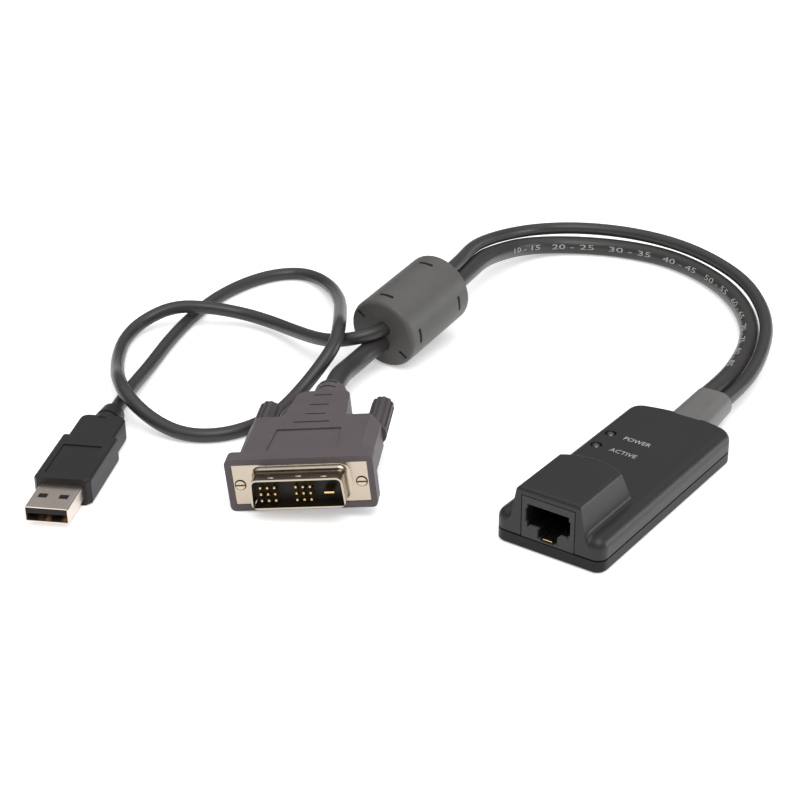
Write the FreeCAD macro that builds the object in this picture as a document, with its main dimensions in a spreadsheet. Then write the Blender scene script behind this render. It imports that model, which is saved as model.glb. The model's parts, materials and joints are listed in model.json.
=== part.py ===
"""KVM dongle: a network-socket adapter housing with two captive cables.

One cable ends in a digital video plug with two thumbscrews, the other in a flat USB plug, and a
moulded ferrite sleeve clamps both. Millimetres. The housing's underside centre is the origin, +Z is
up, the network socket faces -Y and the cables leave along +Y. Every size is a cell of the sheet
"Sizes", and the features read them by expression.
"""
import FreeCAD, Part
import math
import os
import re
import Sketcher

V = FreeCAD.Vector
doc = FreeCAD.newDocument("kvm_dongle")
sheet = doc.addObject("Spreadsheet::Sheet", "Sizes")

SIZES = {
    # housing
    "housing_width": 32.0,
    "housing_length": 76.0,
    "rear_bow": 3.0,            # how far the rear edge swells past its corners
    "parting_level": 3.8,       # where the top cover meets the bottom cover
    "body_height": 9.6,
    "cover_wall": 1.6,
    "floor_wall": 1.2,
    "front_corner": 3.0,
    "rear_corner": 5.0,
    "top_edge_round": 3.0,
    "bottom_edge_bevel": 0.7,
    "parting_bevel": 0.2,
    # raised hood over the network socket
    "hood_height": 18.2,
    "hood_half_width": 9.3,
    "hood_draft": 10.5,
    "hood_side_length": 20.5,
    "hood_bow": 3.2,
    "hood_rear_slope": 21.0,
    "hood_edge_round": 1.2,
    "hood_foot_round": 1.2,
    "socket_gap": 0.25,
    # circuit board and what it carries
    "board_thickness": 1.6,
    "board_level": 2.3,
    "board_clearance": 0.3,
    "board_rear_clearance": 8.0,
    "socket_width": 15.5,
    "socket_height": 12.0,
    "socket_depth": 21.0,
    "socket_port_half_width": 6.15,
    "socket_port_floor": 3.0,
    "socket_port_height": 7.0,
    "socket_port_depth": 15.0,
    "socket_latch_half_width": 2.95,
    "socket_latch_depth": 2.1,
    "socket_notch": 0.45,
    "contact_pitch": 1.02,
    "contact_width": 0.45,
    "contact_thickness": 0.3,
    "contact_drop": 3.0,
    "lamp_radius": 1.5,
    "lamp_flange_radius": 1.8,
    "lamp_flange_height": 1.0,
    "lamp_proud": 0.4,
    "lamp_hole_radius": 1.65,
    "lamp_offset": 11.3,
    "lamp_rear_from_front": 52.0,
    "lamp_pitch": 8.0,
    "chip_side": 12.0,
    "chip_height": 1.4,
    "chip_lead_reach": 1.0,
    "chip_lead_width": 0.5,
    "chip_lead_pitch": 1.5,
    "header_length": 12.0,
    "header_depth": 4.5,
    "header_height": 3.4,
    "lead_radius": 0.55,
    "lead_pitch": 1.5,
    "screw_radius": 1.1,
    "screw_head_radius": 1.9,
    "screw_head_height": 1.0,
    "screw_length": 7.0,
    "screw_spacing": 22.0,
    "screw_row": 27.0,
    "post_radius": 2.3,
    # cables and their boot
    "video_cable_diameter": 6.2,
    "usb_cable_diameter": 4.2,
    "cable_sides": 10,
    "boot_level": 5.5,
    "boot_width": 13.2,
    "boot_height": 7.8,
    "boot_end_width": 11.8,
    "boot_end_height": 7.4,
    "boot_end_level": 6.0,
    "boot_start_offset": 1.3,
    "boot_end_offset": 0.35,
    "boot_end": 54.5,
    "boot_end_round": 0.6,
    "boot_collar_width": 15.6,
    "boot_collar_depth": 1.6,
    "boot_gap": 0.3,
    # ferrite sleeve
    "ferrite_diameter": 23.2,
    "ferrite_length": 32.0,
    "ferrite_bore": 12.8,
    "ferrite_wall": 2.2,
    "ferrite_end_wall": 3.0,
    "ferrite_round": 1.4,
    "ferrite_slot_width": 1.1,
    "ferrite_slot_angle": 25.0,
    "ferrite_slot_from_near": 4.5,
    "ferrite_slot_from_far": 6.0,
    "ferrite_end_slot_start": 7.6,
    "ferrite_end_slot_length": 3.0,
    "ferrite_end_slot_turn": -53.0,
    "sleeve_clearance": 0.15,
    # video plug, and where it lies: the hood's front edge, then its turns in degrees
    "dvi_x": -63.99,
    "dvi_y": -56.65,
    "dvi_z": 1.92,
    "dvi_yaw": 28.74,
    "dvi_roll": 5.51,
    "dvi_flange_width": 40.0,
    "dvi_flange_height": 15.5,
    "dvi_flange_depth": 4.5,
    "dvi_flange_round": 1.5,
    "dvi_body_half_width": 18.5,
    "dvi_body_top_half_width": 16.0,
    "dvi_body_step": 0.9,
    "dvi_body_bevel": 3.4,
    "dvi_body_end": 26.0,
    "dvi_neck_half_width": 9.0,
    "dvi_neck_end_half_width": 7.5,
    "dvi_neck_height": 12.4,
    "dvi_neck_end_height": 10.4,
    "dvi_neck_end": 44.5,
    "dvi_neck_round": 3.4,
    "dvi_collar_radius": 4.8,
    "dvi_collar_end": 52.4,
    "dvi_collar_groove": 0.9,
    "dvi_panel_half_width": 9.0,
    "dvi_panel_start": 6.0,
    "dvi_panel_end": 18.5,
    "dvi_panel_depth": 0.5,
    "dvi_plate_width": 36.6,
    "dvi_plate_height": 12.1,
    "dvi_plate_thickness": 0.5,
    "dvi_screw_spacing": 32.8,
    "dvi_plate_hole_radius": 1.6,
    "dvi_rim_top_width": 24.6,
    "dvi_rim_bottom_width": 25.5,
    "dvi_rim_height": 8.9,
    "dvi_rim_reach": 5.5,
    "dvi_rim_wall": 0.5,
    "dvi_rim_corner": 1.8,
    "dvi_rim_flare": 1.3,
    "dvi_pin_pitch": 1.905,
    "dvi_pin_side": 0.6,
    "dvi_pin_shift": -3.09,
    "dvi_pin_tip": 5.1,         # how far the pin tips stand out from the hood's front
    "dvi_pin_root": 1.6,        # how far the insulator's face stands out
    "dvi_blade_width": 2.6,
    "dvi_blade_thickness": 0.5,
    "dvi_blade_offset": 8.5,
    "dvi_insulator_back": 7.0,
    "thumbscrew_radius": 1.3,
    "thumbscrew_clearance": 0.08,
    "thumbscrew_slot_width": 0.5,
    "thumbscrew_slot_depth": 0.6,
    "grip_radius": 3.25,
    "grip_end": 44.4,
    "grip_gap": 0.3,
    "grip_groove_width": 0.8,
    "grip_groove_depth": 0.45,
    "grip_groove_count": 12,
    "grip_bore_depth": 14.0,
    # usb plug, and where it lies
    "usb_x": -115.71,
    "usb_y": -100.51,
    "usb_z": 1.75,
    "usb_yaw": 26.5,
    "usb_roll": 0.0,
    "usb_shell_width": 12.0,
    "usb_shell_height": 4.5,
    "usb_shell_wall": 0.3,
    "usb_shell_length": 12.6,
    "usb_shell_corner": 0.6,
    "usb_window_width": 2.5,
    "usb_window_length": 2.1,
    "usb_window_offset": 2.9,
    "usb_window_start": 5.1,
    "usb_tongue_thickness": 1.9,
    "usb_contact_pitch": 2.3,
    "usb_contact_width": 1.0,
    "usb_contact_thickness": 0.2,
    "usb_hood_height": 8.0,
    "usb_hood_half_width": 8.0,
    "usb_hood_wide_end": 38.0,
    "usb_neck_half_width": 6.7,
    "usb_neck_height": 7.2,
    "usb_neck_end": 51.0,
    "usb_relief_radius": 4.0,
    "usb_relief_end_radius": 3.5,
    "usb_relief_end": 58.0,
    "usb_relief_groove": 0.6,
    "usb_edge_round": 1.1,
    "usb_shoulder_round": 2.5,
    "usb_step_round": 0.8,
    "usb_shell_insert": 3.0,
    "usb_panel_half_width": 5.6,
    "usb_panel_start": 15.5,
    "usb_panel_end": 31.5,
    "usb_panel_depth": 0.4,
}

for row, (alias, number_text) in enumerate(SIZES.items(), start=1):
    sheet.set(f"A{row}", alias)
    sheet.set(f"B{row}", str(number_text))
    sheet.setAlias(f"B{row}", alias)
doc.recompute()


# ---------------------------------------------------------------- where the loose ends lie

SLEEVE_NEAR = (-99.61, 27.2, 11.55)
SLEEVE_FAR = (-99.84, 58.89, 16.14)

# control points of the two cables, housing end first
VIDEO_ROUTE = [
    (-2.4, 54.5, 6.2), (-2.4, 65.5, 6.2), (-4.9, 80.3, 5), (-9.3, 97, 3.7),
    (-15.3, 111.5, 3.1), (-24, 124.5, 3.1), (-35.5, 136, 3.1), (-49.5, 144.6, 3.1),
    (-65, 149.5, 3.1), (-80.5, 150, 3.1), (-94.5, 145.8, 3.3), (-105.5, 137.8, 4.2),
    (-110.8, 126, 6.6), (-110.6, 111, 9.4), (-107.8, 96, 12), (-103, 80, 13.4),
    (-99.6, 62.2, 13.4), (-99.8, 43.4, 10.9), (-100.6, 24.5, 8.2), (-99.6, 11, 7),
    (-95.13, -1.41, 9.63), (-89.84, -11.06, 9.63),
]
USB_ROUTE = [
    (3.1, 54.5, 6.2), (3.1, 65.5, 6.2), (1, 80, 5.9), (-3.6, 96.5, 5.8),
    (-9.6, 111.3, 6), (-18, 124.3, 6.5), (-28.8, 136, 7.1), (-42.5, 145.4, 7.7),
    (-57.5, 151.6, 8.1), (-72.5, 153.8, 8.3), (-87.5, 152.1, 8.5), (-101, 146.5, 8.9),
    (-110.5, 137.3, 10.1), (-113.8, 123.5, 12.5), (-113, 108, 15.4), (-109.2, 92.5, 17.8),
    (-103.8, 77.5, 19.2), (-100.2, 61.4, 19), (-98.6, 43, 16.3), (-98.3, 27.5, 13.8),
    (-100.9, 20.2, 13.2), (-107, 16.4, 11.6), (-114, 16.8, 9.8), (-123, 20, 7.6),
    (-134, 24.6, 5.2), (-145, 27.8, 3.9), (-155.5, 27, 4.4), (-164.5, 20, 7),
    (-174.5, 14, 7), (-180.5, 5, 3.4), (-177.5, -6.5, 2.1), (-168.5, -18.5, 3),
    (-158.5, -29, 5.5), (-149, -38, 9), (-139, -45, 9), (-128.5, -45.5, 4.2),
    (-118, -44, 2.1), (-109, -38, 2.1), (-104.8, -27.5, 2.1), (-104.4, -17, 2.3),
    (-104.6, -8, 4.6), (-103.4, 0.5, 9.6), (-103, 8.5, 14.8), (-108.5, 17.5, 16.2),
    (-117.5, 29.5, 12.5), (-130.5, 46.5, 7.6), (-144, 60, 4.2), (-155.5, 67, 2.7),
    (-165, 68, 2.1), (-172, 60.5, 2.1), (-175, 48, 2.1), (-174.5, 33, 2.1),
    (-170.5, 16.5, 2.1), (-164.5, 0, 2.1), (-157.5, -15.5, 2.2), (-151.5, -28.5, 3.2),
    (-147.1, -37.5, 4), (-141.59, -48.6, 4),
]


# ---------------------------------------------------------------- helpers

PARTS = {}


def formula(text):
    """Point every size named in a formula at its cell of the sheet."""
    return re.sub(r"[A-Za-z_]\w*", lambda m: "Sizes." + m.group() if m.group() in SIZES else m.group(), text)


def value(text):
    """The present value of a formula of sizes."""
    return float(sheet.evalExpression(formula(text)))


def bind(obj, **formulas):
    """Drive properties of an object by formulas of sizes."""
    for name, text in formulas.items():
        obj.setExpression(name.replace("__", "."), formula(text))
    return obj


def move(obj, x="0", y="0", z="0"):
    return bind(obj, Placement__Base__x=x, Placement__Base__y=y, Placement__Base__z=z)


def box(length, width, height, x="0", y="0", z="0"):
    return move(bind(doc.addObject("Part::Box", "Block"), Length=length, Width=width, Height=height), x, y, z)


def centred_box(length, width, height, x="0", y="0", z="0"):
    """A block centred on x, starting at y and z."""
    return box(length, width, height, f"({x})-({length})/2", y, z)


def post(radius, height, x="0", y="0", z="0"):
    """An upright cylinder."""
    return move(bind(doc.addObject("Part::Cylinder", "Post"), Radius=radius, Height=height), x, y, z)


def rod(radius, length, x="0", y="0", z="0"):
    """A cylinder lying along +Y."""
    obj = bind(doc.addObject("Part::Cylinder", "Rod"), Radius=radius, Height=length)
    obj.Placement.Rotation = FreeCAD.Rotation(V(1, 0, 0), -90)
    return move(obj, x, y, z)


def cone(radius_near, radius_far, length, x="0", y="0", z="0"):
    """A round taper lying along +Y."""
    obj = bind(doc.addObject("Part::Cone", "Taper"), Radius1=radius_near, Radius2=radius_far, Height=length)
    obj.Placement.Rotation = FreeCAD.Rotation(V(1, 0, 0), -90)
    return move(obj, x, y, z)


def fuse(shapes):
    obj = doc.addObject("Part::MultiFuse", "Union")
    obj.Shapes = shapes
    return obj


def group(shapes):
    obj = doc.addObject("Part::Compound", "Group")
    obj.Links = shapes
    return obj


def cut(base, tool):
    obj = doc.addObject("Part::Cut", "Difference")
    obj.Base = base
    obj.Tool = tool
    return obj


def keep(name, obj, placement=None):
    """Name a finished sub-part, and stand it in its final place."""
    obj.Label = name
    if placement is not None:
        obj.Placement = placement
    PARTS[name] = obj


class Moulding:
    """A PartDesign body built feature by feature from closed outlines."""

    def __init__(self, name):
        self.body = doc.addObject("PartDesign::Body", "Moulding")
        self.body.Label = name

    def sketch(self, plane, level):
        origin = [f for f in self.body.Origin.OriginFeatures if f.Role == plane + "_Plane"][0]
        sketch = self.body.newObject("Sketcher::SketchObject", "Outline")
        sketch.AttachmentSupport = (origin, "")
        sketch.MapMode = "FlatFace"
        depth = f"-({level})" if plane == "XZ" else level
        sketch.setExpression("AttachmentOffset.Base.z", formula(depth))
        return sketch

    def polygon(self, plane, level, points, arcs=None):
        """Closed outline through points; arcs maps a side to its (sagitta, radius) formulas."""
        sketch = self.sketch(plane, level)
        spots = [V(value(x), value(y), 0) for x, y in points]
        count = len(spots)
        for side, start in enumerate(spots):
            end = spots[(side + 1) % count]
            if arcs and side in arcs:
                along = end - start
                middle = (start + end) / 2 + V(along.y, -along.x, 0).normalize() * value(arcs[side][0])
                sketch.addGeometry(Part.Arc(start, middle, end), False)
            else:
                sketch.addGeometry(Part.LineSegment(start, end), False)
        for side in range(count):
            sketch.addConstraint(Sketcher.Constraint("Coincident", side, 2, (side + 1) % count, 1))
        for side, (x, y) in enumerate(points):
            for kind, text in (("DistanceX", x), ("DistanceY", y)):
                number = sketch.addConstraint(Sketcher.Constraint(kind, -1, 1, side, 1, value(text)))
                sketch.setExpression(f"Constraints[{number}]", formula(text))
        for side in arcs or {}:
            radius = arcs[side][1]
            number = sketch.addConstraint(Sketcher.Constraint("Radius", side, value(radius)))
            sketch.setExpression(f"Constraints[{number}]", formula(radius))
        return sketch

    def circle(self, plane, level, x, y, radius):
        sketch = self.sketch(plane, level)
        sketch.addGeometry(Part.Circle(V(value(x), value(y), 0), V(0, 0, 1), value(radius)), False)
        for kind, text in (("DistanceX", x), ("DistanceY", y)):
            number = sketch.addConstraint(Sketcher.Constraint(kind, -1, 1, 0, 3, value(text)))
            sketch.setExpression(f"Constraints[{number}]", formula(text))
        number = sketch.addConstraint(Sketcher.Constraint("Radius", 0, value(radius)))
        sketch.setExpression(f"Constraints[{number}]", formula(radius))
        return sketch

    def extrude(self, kind, sketch, length, reverse):
        volume = self.body.Shape.Volume if self.body.Tip else 0.0
        feature = self.body.newObject("PartDesign::" + kind, kind)
        feature.Profile = sketch
        feature.Reversed = reverse
        feature.setExpression("Length", formula(length))
        doc.recompute()
        grown = self.body.Shape.Volume - volume
        if grown * (1 if kind == "Pad" else -1) <= 0:
            raise RuntimeError(f"{self.body.Label}: a {kind} changed the volume by {grown:.3f}")
        return self

    def pad(self, sketch, length):
        """Add material from the outline towards the positive axis."""
        return self.extrude("Pad", sketch, length, self.plane_of(sketch) == "XZ")

    def pocket(self, sketch, length):
        """Remove material from the outline towards the positive axis."""
        return self.extrude("Pocket", sketch, length, self.plane_of(sketch) != "XZ")

    def plane_of(self, sketch):
        return sketch.AttachmentSupport[0][0].Role[:2]

    def loft(self, kind, sketches):
        feature = self.body.newObject("PartDesign::" + kind, kind)
        feature.Profile = sketches[0]
        feature.Sections = sketches[1:]
        feature.Ruled = True
        doc.recompute()
        return self

    def edges(self, test):
        """Names of the edges whose bounding box and middle point pass a test."""
        found = []
        for number, edge in enumerate(self.body.Shape.Edges, start=1):
            if test(edge.BoundBox, edge.valueAt((edge.FirstParameter + edge.LastParameter) / 2)):
                found.append(f"Edge{number}")
        return found

    def dress(self, kind, size, test):
        """Round (Fillet) or bevel (Chamfer) the edges that pass a test."""
        doc.recompute()
        names = self.edges(test)
        if not names:
            raise RuntimeError(f"{self.body.Label}: no edge to dress")
        base = self.body.Tip
        feature = self.body.newObject("PartDesign::" + kind, kind)
        feature.Base = (base, names)
        feature.setExpression("Radius" if kind == "Fillet" else "Size", formula(size))
        doc.recompute()
        return self


def near(a, b):
    return abs(a - b) < 1e-4


def rectangle(half_width, low, high, x="0"):
    """Corner formulas of a rectangle centred on x, between two levels."""
    left = f"({x})-({half_width})"
    right = f"({x})+({half_width})"
    return [(left, low), (right, low), (right, high), (left, high)]


# ---------------------------------------------------------------- housing

FRONT = "-housing_length/2"


def plan(inset):
    """Housing plan, moved in by an inset: straight sides and front, bowed rear."""
    half = f"(housing_width/2-({inset}))"
    rear = f"(housing_length/2-rear_bow-({inset}))"
    front = f"({FRONT}+({inset}))"
    return [("-" + half, front), (half, front), (half, rear), ("-" + half, rear)]


def plan_arc(inset):
    half = f"(housing_width/2-({inset}))"
    return {2: ("rear_bow", f"({half}^2+rear_bow^2)/(2*rear_bow)")}


def hood_plan(level, inset):
    """Plan of the raised hood at a level: it widens and lengthens downwards."""
    drop = f"(hood_height-({level}))"
    half = f"(hood_half_width+tan(hood_draft)*{drop}-({inset}))"
    rear = f"({FRONT}+hood_side_length+tan(hood_rear_slope)*{drop}-({inset}))"
    front = f"({FRONT}+({inset}))"
    return [("-" + half, front), (half, front), (half, rear), ("-" + half, rear)]


def hood_arc(level, inset):
    half = f"(hood_half_width+tan(hood_draft)*(hood_height-({level}))-({inset}))"
    return {2: ("hood_bow", f"({half}^2+hood_bow^2)/(2*hood_bow)")}


def upright(bounds):
    return near(bounds.XLength, 0) and near(bounds.YLength, 0)


def rounded_corners(part):
    part.dress("Fillet", "rear_corner", lambda b, m: upright(b) and m.y > 0)
    part.dress("Fillet", "front_corner", lambda b, m: upright(b) and m.y < 0)


def screw_spots():
    return [(x, y) for x in ("-screw_spacing/2", "screw_spacing/2") for y in ("-screw_row", "screw_row")]


def lamp_row(step):
    return f"({FRONT}+lamp_rear_from_front-({step}))"


def boot_notch(part):
    """Rounded opening in the rear wall that the cable boot passes through."""
    half = "(boot_width/2+boot_gap)"
    low = "(boot_level-boot_height/2-boot_gap)"
    high = "(boot_level+boot_height/2+boot_gap)"
    inner = "(housing_length/2-cover_wall-rear_bow/2)"
    points = oval(half, low, high, "boot_start_offset")
    part.pocket(part.polygon("XZ", inner, points[0], points[1]), "cover_wall+rear_bow/2+1")


def oval(half, low, high, x="0"):
    """Rectangle with broad round corners: its points, and the sides that are arcs."""
    radius = f"(0.46*(({high})-({low})))"
    left = f"({x})-({half})"
    right = f"({x})+({half})"
    points = [
        (f"{left}+{radius}", low), (f"{right}-{radius}", low), (right, f"{low}+{radius}"), (right, f"{high}-{radius}"),
        (f"{right}-{radius}", high), (f"{left}+{radius}", high), (left, f"{high}-{radius}"), (left, f"{low}+{radius}"),
    ]
    corner = (f"{radius}*(1-cos(45))", radius)
    return points, {1: corner, 3: corner, 5: corner, 7: corner}


def make_bottom_cover():
    part = Moulding("bottom_cover")
    part.pad(part.polygon("XY", "0", plan("0"), plan_arc("0")), "parting_level")
    rounded_corners(part)
    part.dress("Chamfer", "bottom_edge_bevel", lambda b, m: near(b.ZMax, 0))
    part.dress("Chamfer", "parting_bevel", lambda b, m: near(b.ZMin, SIZES["parting_level"]))
    wall = part.polygon("XY", "floor_wall", plan("cover_wall"), plan_arc("cover_wall"))
    part.pocket(wall, "parting_level")
    boot_notch(part)
    for x, y in screw_spots():
        part.pad(part.circle("XY", "floor_wall", x, y, "post_radius"), "board_level-floor_wall")
        part.pocket(part.circle("XY", "0", x, y, "screw_head_radius"), "screw_head_height")
        part.pocket(part.circle("XY", "0", x, y, "screw_radius"), "board_level+1")
    keep("bottom_cover", part.body)


def make_top_cover():
    part = Moulding("top_cover")
    shell = part.polygon("XY", "parting_level", plan("0"), plan_arc("0"))
    part.pad(shell, "body_height-parting_level")
    rounded_corners(part)
    part.dress("Fillet", "top_edge_round", lambda b, m: near(b.ZMin, SIZES["body_height"]))
    part.dress("Chamfer", "parting_bevel", lambda b, m: near(b.ZMax, SIZES["parting_level"]))
    lofted = []
    for level in ("parting_level+parting_bevel", "hood_height"):
        lofted.append(part.polygon("XY", level, hood_plan(level, "0"), hood_arc(level, "0")))
    part.loft("AdditiveLoft", lofted)
    part.dress("Fillet", "hood_edge_round", lambda b, m: b.ZMax > SIZES["hood_height"] - 0.01 and b.ZMin > 9.7)
    cavity = part.polygon("XY", "parting_level", plan("cover_wall"), plan_arc("cover_wall"))
    part.pocket(cavity, "body_height-cover_wall-parting_level")
    roof = "board_level+board_thickness+socket_height+socket_gap"
    rear = f"{FRONT}+socket_depth+0.3"
    room = [
        (FRONT + "+cover_wall", "parting_level"),
        (f"{rear}+tan(hood_rear_slope)*({roof}-parting_level)", "parting_level"),
        (rear, roof),
        (FRONT + "+cover_wall", roof),
    ]
    half = "socket_width/2+socket_gap"
    part.pocket(part.polygon("YZ", f"-({half})", room), f"2*({half})")
    mouth = rectangle(half, "parting_level", roof)
    part.pocket(part.polygon("XZ", FRONT + "-1", mouth), "cover_wall+1.5")
    boot_notch(part)
    for row in ("0", "lamp_pitch"):
        lamp = part.circle("XY", "body_height-cover_wall-1", "-lamp_offset", lamp_row(row), "lamp_hole_radius")
        part.pocket(lamp, "cover_wall+2")
    for x, y in screw_spots():
        boss = part.circle("XY", "board_level+board_thickness", x, y, "post_radius")
        part.pad(boss, "body_height-cover_wall-board_level-board_thickness")
        part.pocket(part.circle("XY", "board_level", x, y, "screw_radius"), "screw_length-board_level")
    foot = SIZES["body_height"]
    part.dress("Fillet", "hood_foot_round", lambda b, m: foot_edge(b, m, foot))
    keep("top_cover", part.body)


def foot_edge(bounds, middle, level):
    """Where the raised hood stands on the body's top."""
    if not (near(bounds.ZMin, level) and near(bounds.ZMax, level)):
        return False
    return abs(middle.x) < SIZES["housing_width"] / 2 - 3.2 and middle.y < 0


def make_housing_screws():
    screws = []
    for x, y in screw_spots():
        head = post("screw_head_radius", "screw_head_height-0.2", x, y, "0.2")
        screws.append(fuse([head, post("screw_radius", "screw_length-0.5", x, y, "0.5")]))
    keep("housing_screws", group(screws))


def make_circuit_board():
    part = Moulding("circuit_board")
    half = "(housing_width/2-cover_wall-board_clearance)"
    front = f"({FRONT}+cover_wall+board_clearance)"
    rear = "(housing_length/2-board_rear_clearance)"
    outline = [("-" + half, front), (half, front), (half, rear), ("-" + half, rear)]
    part.pad(part.polygon("XY", "board_level", outline), "board_thickness")
    part.dress("Chamfer", "front_corner", lambda b, m: upright(b))
    for x, y in screw_spots():
        part.pocket(part.circle("XY", "board_level-1", x, y, "screw_radius+0.2"), "board_thickness+2")
    keep("circuit_board", part.body)


DECK = "(board_level+board_thickness)"


# ---------------------------------------------------------------- network socket

def make_network_jack():
    part = Moulding("network_jack")
    block = rectangle("socket_width/2", DECK, DECK + "+socket_height")
    part.pad(part.polygon("XZ", FRONT, block), "socket_depth")
    floor = f"({DECK}+socket_port_floor)"
    roof = f"({floor}+socket_port_height)"
    half = "socket_port_half_width"
    latch = "socket_latch_half_width"
    side = f"({half}+socket_notch)"
    port = [
        ("-" + latch, floor + "-socket_latch_depth"),
        (latch, floor + "-socket_latch_depth"),
        (latch, floor),
        (half, floor),
        (half, floor + "+1.7"),
        (side, floor + "+1.7"),
        (side, roof + "-1.3"),
        (half, roof + "-1.3"),
        (half, roof),
        ("-" + half, roof),
        ("-" + half, roof + "-1.3"),
        ("-" + side, roof + "-1.3"),
        ("-" + side, floor + "+1.7"),
        ("-" + half, floor + "+1.7"),
        ("-" + half, floor),
        ("-" + latch, floor),
    ]
    part.pocket(part.polygon("XZ", FRONT, port), "socket_port_depth")
    lip = rectangle("socket_latch_half_width-0.9", floor + "-socket_latch_depth-0.5", floor)
    part.pocket(part.polygon("XZ", FRONT, lip), "5")
    keep("network_jack", part.body)


def make_jack_contacts():
    roof = f"({DECK}+socket_port_floor+socket_port_height)"
    strips = []
    for step in range(8):
        x = f"({step}-3.5)*contact_pitch-contact_width/2"
        root = box("contact_width", "2", "contact_thickness", x, FRONT + "+2.2", roof + "-contact_thickness")
        slope = box("contact_width", "9", "contact_thickness", x, FRONT + "+3.6", roof + "-contact_thickness")
        slope.Placement.Rotation = FreeCAD.Rotation(V(1, 0, 0), -19)
        strips.append(fuse([root, slope]))
    keep("jack_contacts", group(strips))


# ---------------------------------------------------------------- board parts

def make_lamp(name, step):
    y = lamp_row(step)
    x = "-lamp_offset"
    top = "(body_height+lamp_proud-lamp_radius)"
    rim = post("lamp_flange_radius", "lamp_flange_height", x, y, DECK + "+0.6")
    barrel = post("lamp_radius", f"{top}-{DECK}-0.6", x, y, DECK + "+0.6")
    dome = move(bind(doc.addObject("Part::Sphere", "Dome"), Radius="lamp_radius"), x, y, top)
    legs = [centred_box("0.5", "0.5", "1", f"{x}+({side})*1.27", y + "-0.25", DECK) for side in ("-0.5", "0.5")]
    keep(name, fuse([rim, barrel, dome] + legs))


def make_chip(name, side, x, y, leads):
    """A square chip standing on its leads, with leads on all four sides."""
    body = centred_box(side, side, "chip_height-0.2", x, f"({y})-({side})/2", DECK + "+0.2")
    pieces = [body]
    reach = f"(({side})+2*chip_lead_reach)"
    for step in range(leads):
        shift = f"({step}-{(leads - 1) / 2})*chip_lead_pitch"
        across = centred_box(reach, "chip_lead_width", "0.3", x, f"({y})+{shift}-chip_lead_width/2", DECK)
        along = centred_box("chip_lead_width", reach, "0.3", f"({x})+{shift}", f"({y})-{reach}/2", DECK)
        pieces += [across, along]
    keep(name, fuse(pieces))


def make_board_components():
    """Small two-ended parts standing in rows on the board."""
    blocks = []
    for row in range(5):
        for column in range(3):
            x = f"({column}-1)*3.4+7.2"
            y = f"({row}-2)*1.9-8.5+3"
            length = "1.6" if (row + column) % 2 else "2"
            blocks.append(centred_box(length, "0.9", "0.6", x, y, DECK))
    for column in range(2):
        blocks.append(centred_box("3.2", "2.4", "1.8", f"-9.6+4.6*{column}", "-13.4", DECK))
    keep("board_components", group(blocks))


def make_crystal():
    ends = [post("1.7", "2.6", f"-1.2+({side})*3.4", "-6", DECK) for side in ("-0.5", "0.5")]
    keep("crystal", fuse(ends + [centred_box("3.4", "3.4", "2.6", "-1.2", "-7.7", DECK)]))


def make_cable_header():
    y = "(housing_length/2-board_rear_clearance-header_depth-1)"
    keep("cable_header", centred_box("header_length", "header_depth", "header_height", "0", y, DECK))


def make_lead_wires():
    """Insulated wires from the header to the boot, lying side by side."""
    start = "(housing_length/2-board_rear_clearance-1)"
    level = f"({DECK}+header_height/2)"
    length = f"(housing_length/2-cover_wall-boot_collar_depth-rear_bow/2)-{start}"
    wires = []
    for step in range(8):
        wires.append(rod("lead_radius", length, f"({step}-3.5)*lead_pitch", start, level))
    keep("lead_wires", group(wires))


# ---------------------------------------------------------------- boot and cables

def make_cable_boot():
    part = Moulding("cable_boot")
    inner = "(housing_length/2-cover_wall-rear_bow/2)"
    start = oval("boot_width/2", "boot_level-boot_height/2", "boot_level+boot_height/2", "boot_start_offset")
    sections = [part.polygon("XZ", inner, *start)]
    for level, inset in (("boot_end-boot_end_round", "0"), ("boot_end", "boot_end_round*0.8")):
        low = f"boot_end_level-boot_end_height/2+{inset}"
        high = f"boot_end_level+boot_end_height/2-{inset}"
        end = oval(f"boot_end_width/2-{inset}", low, high, "boot_end_offset")
        sections.append(part.polygon("XZ", level, *end))
    part.loft("AdditiveLoft", sections)
    collar = rectangle("boot_collar_width/2", "floor_wall", "body_height-cover_wall", "boot_start_offset")
    part.pad(part.polygon("XZ", f"{inner}-boot_collar_depth", collar), "boot_collar_depth")
    keep("cable_boot", part.body)


def tangent_path(points, share=0.45):
    """Straight runs joined by tangent arcs; also returns the radius of each bend."""
    pieces = []
    radii = []
    last = points[0]
    for before, corner, after in zip(points, points[1:], points[2:]):
        into = corner - before
        out = after - corner
        reach = share * min(into.Length, out.Length)
        start = corner - into.normalize() * reach
        end = corner + out.normalize() * reach
        half_turn = into.getAngle(out) / 2
        radii.append(reach / math.tan(half_turn))
        inward = (out - into).normalize()
        centre = corner + inward * (radii[-1] / math.cos(half_turn))
        middle = centre + (corner - centre).normalize() * radii[-1]
        pieces.append(Part.LineSegment(last, start).toShape())
        pieces.append(Part.Arc(start, middle, end).toShape())
        last = end
    pieces.append(Part.LineSegment(last, points[-1]).toShape())
    return Part.Wire(pieces), radii


def ring(centre, direction, radius):
    """A many-sided outline, square to a direction."""
    turn = FreeCAD.Rotation(V(0, 0, 1), direction)
    sides = int(SIZES["cable_sides"])
    angles = [2 * math.pi * step / sides for step in range(sides)]
    spots = [centre + turn.multVec(V(math.cos(a), math.sin(a), 0) * radius) for a in angles]
    return Part.makePolygon(spots + spots[:1])


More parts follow.
